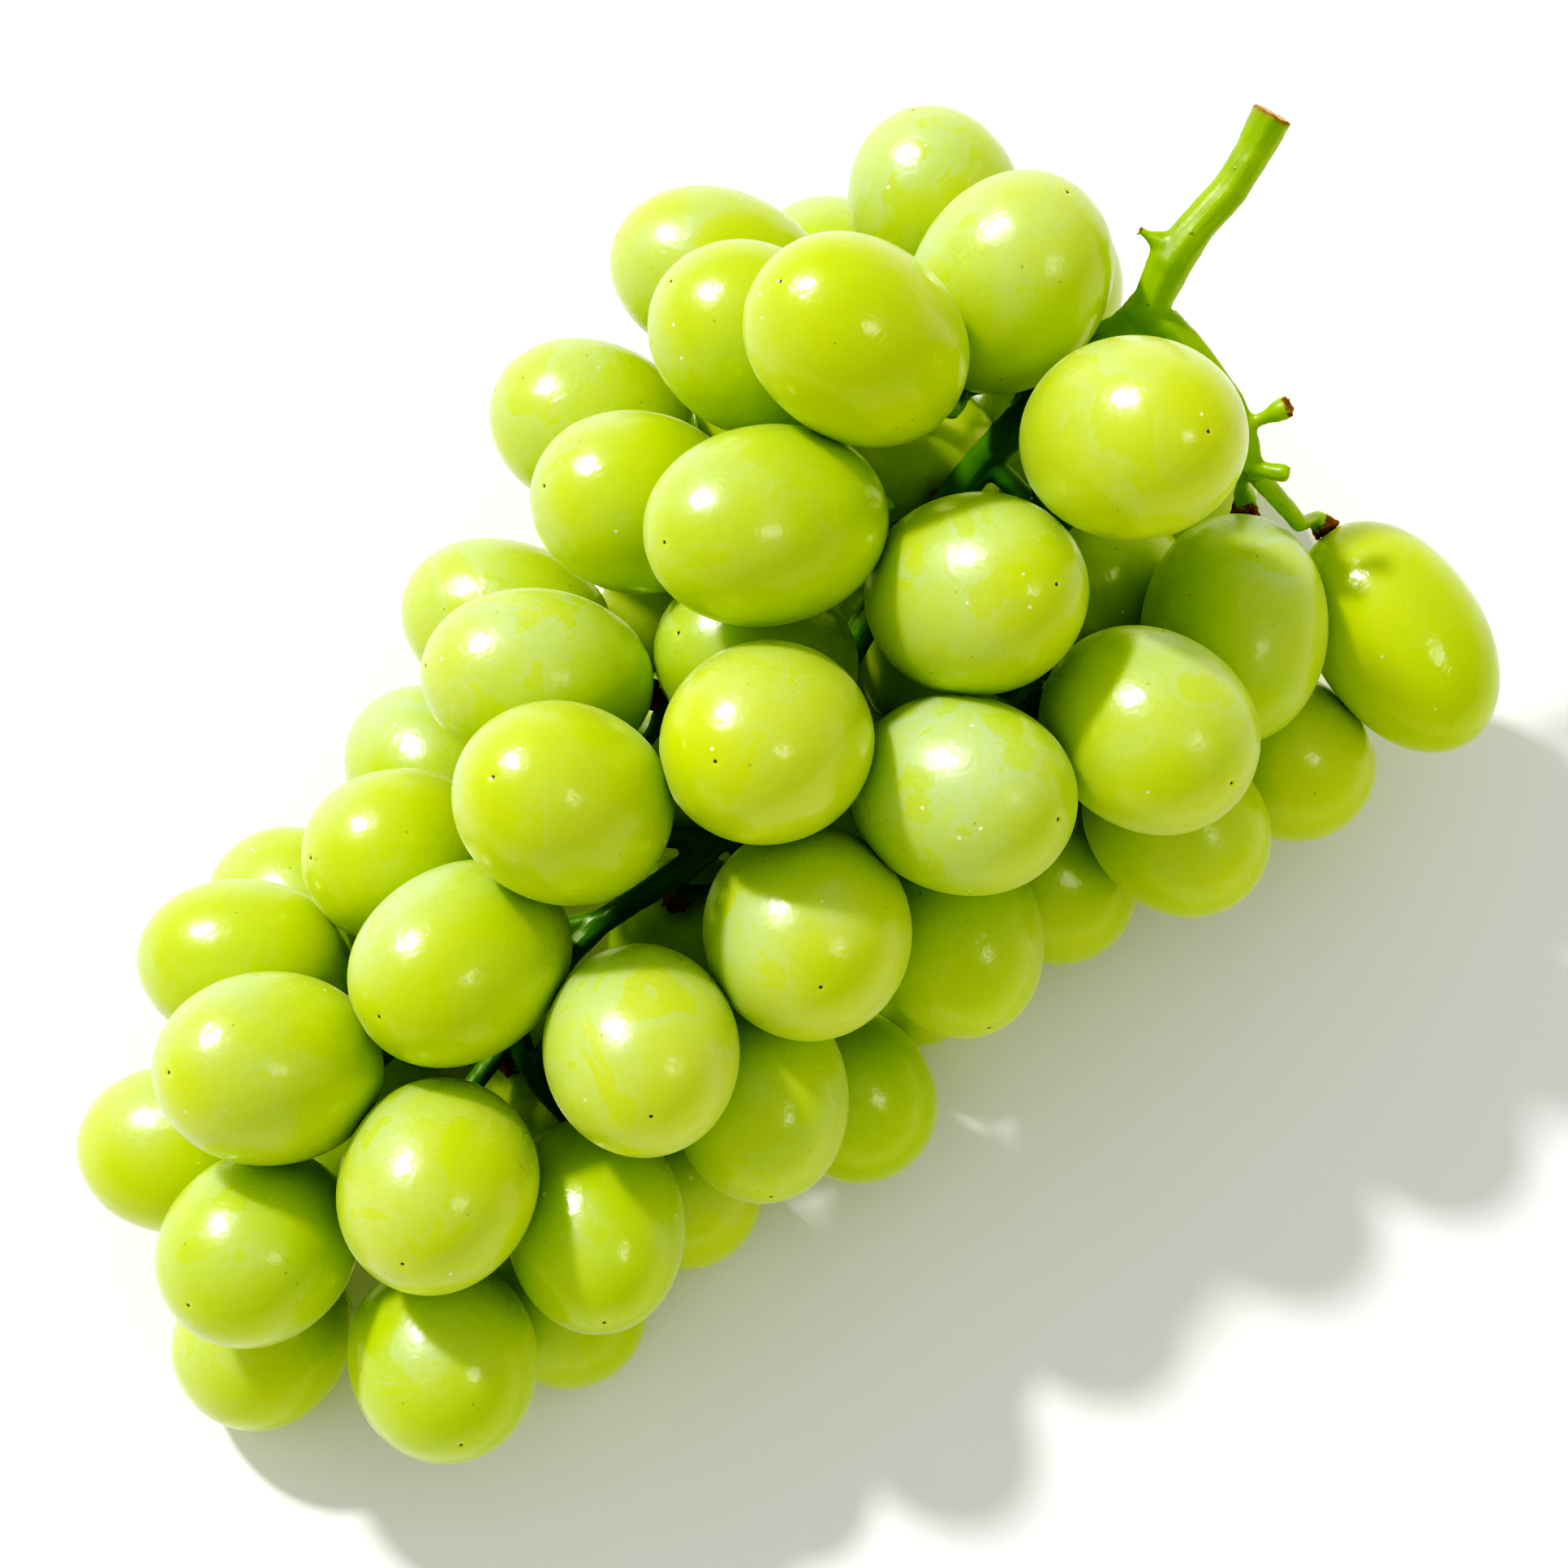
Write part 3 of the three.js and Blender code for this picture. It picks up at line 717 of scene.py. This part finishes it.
def makeStem():
    mesh = oneSkin(mergedCopy("stem"))
    mesh.name = "stemBark"
    count = len(mesh.vertices)
    edges = np.empty(len(mesh.edges) * 2, dtype=np.int32)
    mesh.edges.foreach_get("vertices", edges)
    points = evened(readVectors(mesh.vertices, "co", count), edges.reshape(-1, 2), stem["smoothing"])
    mesh.vertices.foreach_set("co", points.ravel())
    mesh.update()
    normals = readVectors(mesh.vertex_normals, "vector", count)

    # ridges run along the two thick stalks and fade out on the side branches
    alongStalk, awayStalk, angleStalk = besideLine(points, smoothLine(stem["stalk"], 260))
    alongWing, awayWing, angleWing = besideLine(points, smoothLine(stem["wing"], 120))
    onWing = awayWing < awayStalk
    along = np.where(onWing, alongWing, alongStalk)
    away = np.where(onWing, awayWing, awayStalk)
    angle = np.where(onWing, angleWing, angleStalk)
    drift = waves(points, 0.02, 6, 3)
    ridge = 0.6 * np.cos(5 * angle + 1.2 * drift) + 0.4 * np.cos(8 * angle - 1.7 * drift + 1)
    ridge *= np.clip((stem["ridgeReach"] - away) / 0.002, 0, 1)

    # cork: where each berry's stalk meets it, and on the bare ends
    near = np.full(count, 9.0)
    for one in berries:
        foot = one["middle"] - one["tip"] * one["halfLength"]
        near = np.minimum(near, np.linalg.norm(points - foot, axis=1) / mm - stem["footCork"])
    for x, y, z, reach in stem["bareEnds"]:
        near = np.minimum(near, np.linalg.norm(points - onFace((x, y, z)), axis=1) / mm - reach + 0.4)
    corky = np.clip(0.75 - near / 1.6, 0, 1)

    rise = stem["lumps"] * waves(points, stem["lumpSize"], 12, 5) + stem["ridges"] * ridge
    rise += stem["crumbs"] * corky * waves(points, stem["crumbSize"], 24, 6)
    mesh.vertices.foreach_set("co", (points + normals * rise[:, None]).ravel())

    # how far inside the bunch: below its face and short of its shoulder, where the stalk is darkened,
    # partly as painted shade
    across = (points - lie["heart"]) @ rightWay / mm
    depth = (points - lie["heart"]) @ outWay / mm
    innerTintAndShade = np.clip((-12 - depth) / 8, 0, 1) * np.clip((42 - across) / 6, 0, 1)

    cut = np.clip((stem["cutDepth"] - alongStalk) / 0.0004, 0, 1) * (awayStalk < 0.005)
    lengthwise = np.stack([2 * np.cos(angle), 2 * np.sin(angle), along / 0.012], 1)
    for label, values in (("corky", corky), ("cut", cut), ("innerTintAndShade", innerTintAndShade), ("fromCore", awayStalk / mm)):
        mesh.attributes.new(label, "FLOAT", "POINT").data.foreach_set("value", values.astype(np.float32))
    mesh.attributes.new("lengthwise", "FLOAT_VECTOR", "POINT").data.foreach_set(
        "vector", lengthwise.astype(np.float32).ravel())
    mesh.shade_smooth()
    mesh.materials.clear()
    mesh.materials.append(barkMaterial)
    obj = bpy.data.objects.new("stemBark", mesh)
    scene.collection.objects.link(obj)
    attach(obj, "root")
    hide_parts("stem")
    print("Stem made:", count, "corners")


makeStem()


studio = {
    "floor": (0.93, 0.93, 0.92),
    "sky": 0.66,  # strength of the even light from all round
    "sun": 2.6,
    "sunTint": (1.0, 0.985, 0.95),
    "sunAngle": 4.5,  # degrees across
    "sunFrom": (-0.49, 0.655, 0.575),  # right, up and out from the bunch's face
    "glint": 17.0,  # seen only as the broad white spot on each berry
    "glintSize": 0.30,
    "glintFrom": (-0.53, 0.68, 0.51),
    "window": 0.9,  # a small one, seen only as a second spot
    "windowSize": 0.22,
    "windowFrom": (0.6, -0.02, 0.8),
    "blackPoint": (0.012, 0.010, 0.045),  # what is taken off red, green and blue
    "toe": [(0.05, 0.012), (0.15, 0.1), (0.3, 0.285)],  # brightness in and out: deepens the darkest parts
}


def makeFloor():
    material, tree, shader = newMaterial("paleFloor")
    shader.inputs["Base Color"].default_value = (*studio["floor"], 1.0)
    shader.inputs["Roughness"].default_value = 0.7
    corners = np.array([[-2.0, -2.0, 0.0], [2.0, -2.0, 0.0], [2.0, 2.0, 0.0], [-2.0, 2.0, 0.0]])
    floor = meshFrom("floor", corners, [[0, 1, 2, 3]], material)


def makeLights():
    world = bpy.data.worlds.new("sky")
    world.use_nodes = True
    background = world.node_tree.nodes["Background"]
    background.inputs["Color"].default_value = (1.0, 1.0, 1.0, 1.0)
    background.inputs["Strength"].default_value = studio["sky"]
    scene.world = world

    sun = bpy.data.lights.new("sun", "SUN")
    sun.energy = studio["sun"]
    sun.angle = math.radians(studio["sunAngle"])
    sun.color = studio["sunTint"]
    sunObject = bpy.data.objects.new("sun", sun)
    scene.collection.objects.link(sunObject)
    aimed(sunObject, fromFace(studio["sunFrom"]), lie["heart"])

    for name, way, distance in (("glint", "glintFrom", 1.2), ("window", "windowFrom", 0.9)):
        lamp = bpy.data.lights.new(name, "AREA")
        lamp.shape = "DISK"
        lamp.size = studio[name + "Size"]
        lamp.energy = studio[name]
        lampObject = bpy.data.objects.new(name, lamp)
        lampObject.visible_diffuse = False
        scene.collection.objects.link(lampObject)
        aimed(lampObject, distance * fromFace(studio[way]), lie["heart"])


makeFloor()
makeLights()
scene.view_settings.view_transform = "Standard"
scene.view_settings.look = "None"
scene.view_settings.use_curve_mapping = True
grading = scene.view_settings.curve_mapping
grading.black_level = studio["blackPoint"]
for level, result in studio["toe"]:
    grading.curves[3].points.new(level, result)
grading.update()
print("Floor and lights set")
